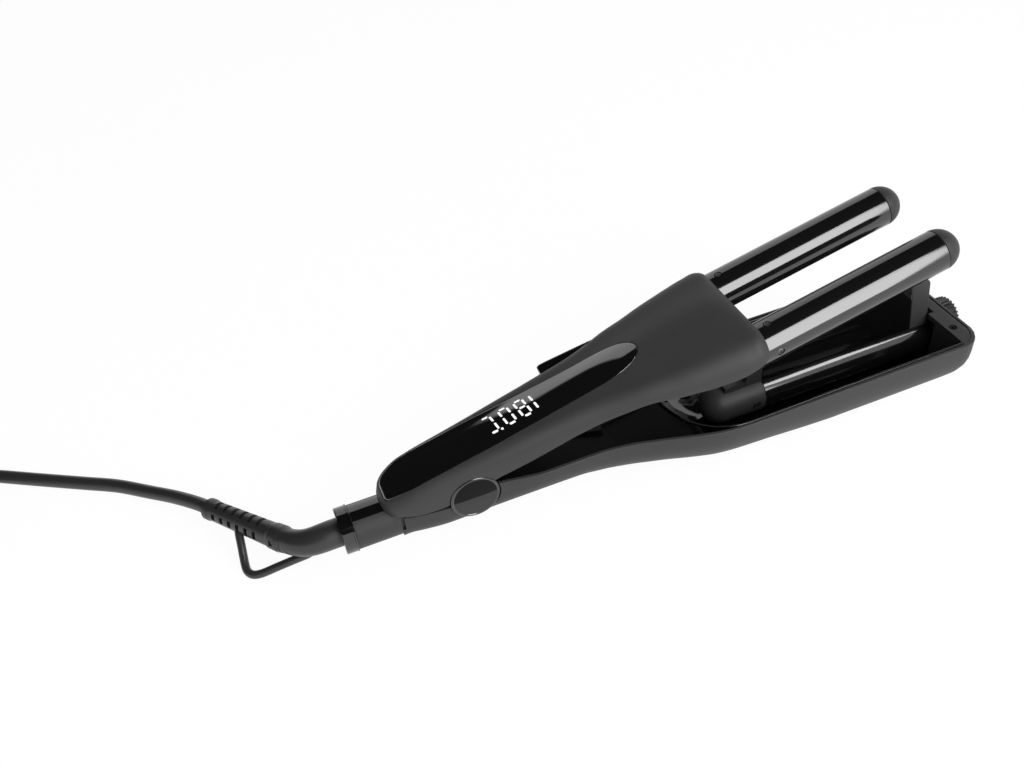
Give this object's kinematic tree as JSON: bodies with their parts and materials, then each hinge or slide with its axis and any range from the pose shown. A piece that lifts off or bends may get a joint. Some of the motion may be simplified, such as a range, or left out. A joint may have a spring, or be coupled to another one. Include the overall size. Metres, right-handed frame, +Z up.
{
  "type": "hair waver",
  "caption": "Hair waver with two hinged upper barrels over a finned centre bar in a tray, a depth dial, a temperature display and a swivel cord.",
  "frame": {"origin": "bottom centre of the tool without its cord, on the table under the middle of its length", "axes": "+X from the hinge to the barrel tips, +Y to the side with the lever, +Z up from the table"},
  "size_m": [0.6765, 0.2009, 0.0991],
  "materials": {
    "matte_shell": "soft-touch matte",
    "dark_matte": "matte",
    "gloss_black": "piano gloss",
    "barrel_coat": "glossy ceramic coat",
    "steel": "satin",
    "heater_metal": "as cast",
    "display_light": "lit white",
    "board": "solder mask",
    "cord_rubber": "matte",
    "lead": "matte",
    "pin_metal": "nickel plated"
  },
  "bodies": {
    "lower_arm": {"lower_shell": "matte_shell", "lower_deck": "matte_shell", "case_screws": "steel", "tray_liner": "gloss_black", "end_block": "matte_shell", "end_screws": "steel", "tail_collar": "gloss_black", "supply_lead": "lead", "lead_clamp": "dark_matte", "hinge_pin": "steel", "hinge_springs": "steel", "hinge_cap_near": "gloss_black", "hinge_cap_far": "gloss_black", "guide_rod": "steel"},
    "centre_bar": {"bar_tube": "barrel_coat", "bar_sleeve": "matte_shell", "bar_screw": "steel", "bar_end_ring": "matte_shell", "bar_heater": "heater_metal", "fin_plate": "barrel_coat", "fin_tip": "matte_shell", "fin_rear": "dark_matte", "fin_bracket": "dark_matte"},
    "dial": {"depth_dial": "matte_shell", "depth_cam": "steel"},
    "upper_arm": {"upper_housing": "matte_shell", "upper_cover": "dark_matte", "display_window": "gloss_black", "display_digits": "display_light", "display_module": "dark_matte", "circuit_board": "board", "barrel_bulkhead": "dark_matte", "barrel_near": "barrel_coat", "barrel_far": "barrel_coat", "barrel_tip_near": "matte_shell", "barrel_tip_far": "matte_shell", "barrel_heaters": "heater_metal", "barrel_screws": "steel"},
    "lever": {"side_lever": "gloss_black"},
    "cord_swivel": {"swivel_stem": "dark_matte", "strain_relief": "cord_rubber", "cord": "cord_rubber", "cord_coil": "cord_rubber", "cord_tail": "cord_rubber", "plug_body": "dark_matte", "plug_pins": "pin_metal"}
  },
  "joints": [
    {"name": "arm_hinge", "type": "hinge", "parent": "lower_arm", "child": "upper_arm", "pos_m": [-0.10645, 0, 0.0285], "axis": [0, 1, 0], "range_deg": [0, 12.3], "stiffness_Nm_per_rad": 0.8, "springref_deg": -40.11},
    {"name": "bar_lift", "type": "slide", "parent": "lower_arm", "child": "centre_bar", "axis": [0, 0, 1], "range_m": [0, 0.0035]},
    {"name": "dial_turn", "type": "hinge", "parent": "lower_arm", "child": "dial", "pos_m": [0.16355, 0, 0.022], "axis": [-1, 0, 0], "range_deg": [0, 90]},
    {"name": "lever_press", "type": "hinge", "parent": "upper_arm", "child": "lever", "pos_m": [-0.03061, 0.0202, 0.05826], "axis": [-0.2181, 0, 0.9759], "range_deg": [0, 4], "stiffness_Nm_per_rad": 0.2, "springref_deg": -2.86},
    {"name": "cord_turn", "type": "hinge", "parent": "lower_arm", "child": "cord_swivel", "pos_m": [-0.16445, 0, 0.0196], "axis": [1, 0, 0], "continuous": true}
  ],
  "couplings": [
    {"joint": "dial_turn", "follows": "bar_lift", "rad_per_m": 448.79}
  ]
}
